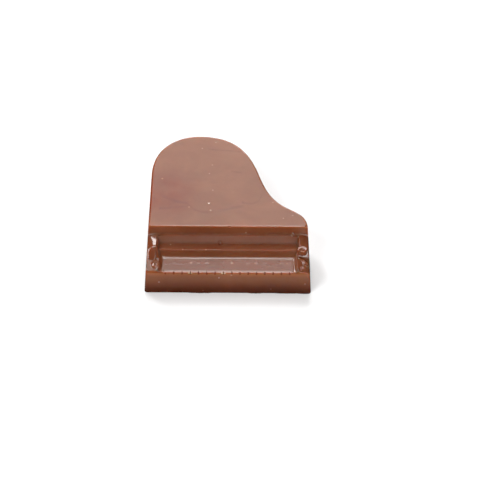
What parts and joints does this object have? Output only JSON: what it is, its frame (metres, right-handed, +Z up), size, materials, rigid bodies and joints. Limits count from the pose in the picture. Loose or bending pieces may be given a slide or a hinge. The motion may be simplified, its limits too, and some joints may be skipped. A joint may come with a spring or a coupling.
{
  "type": "chocolate piano",
  "caption": "Solid milk chocolate moulded as a small grand piano with a closed lid, a stepped keyboard well, keys in relief and scrolled arms.",
  "frame": {"origin": "middle of the part's box, on the flat underside", "axes": "+Z up from the underside to the lid, +Y from the keyboard to the round tail, +X along the keyboard from the bass end to the treble end"},
  "size_m": [0.0698, 0.0774, 0.021],
  "materials": {
    "milk_chocolate": "smooth moulded milk chocolate, satin gloss, with fine pits"
  },
  "bodies": {
    "root": {"chocolate_piano": "milk_chocolate"}
  },
  "joints": []
}
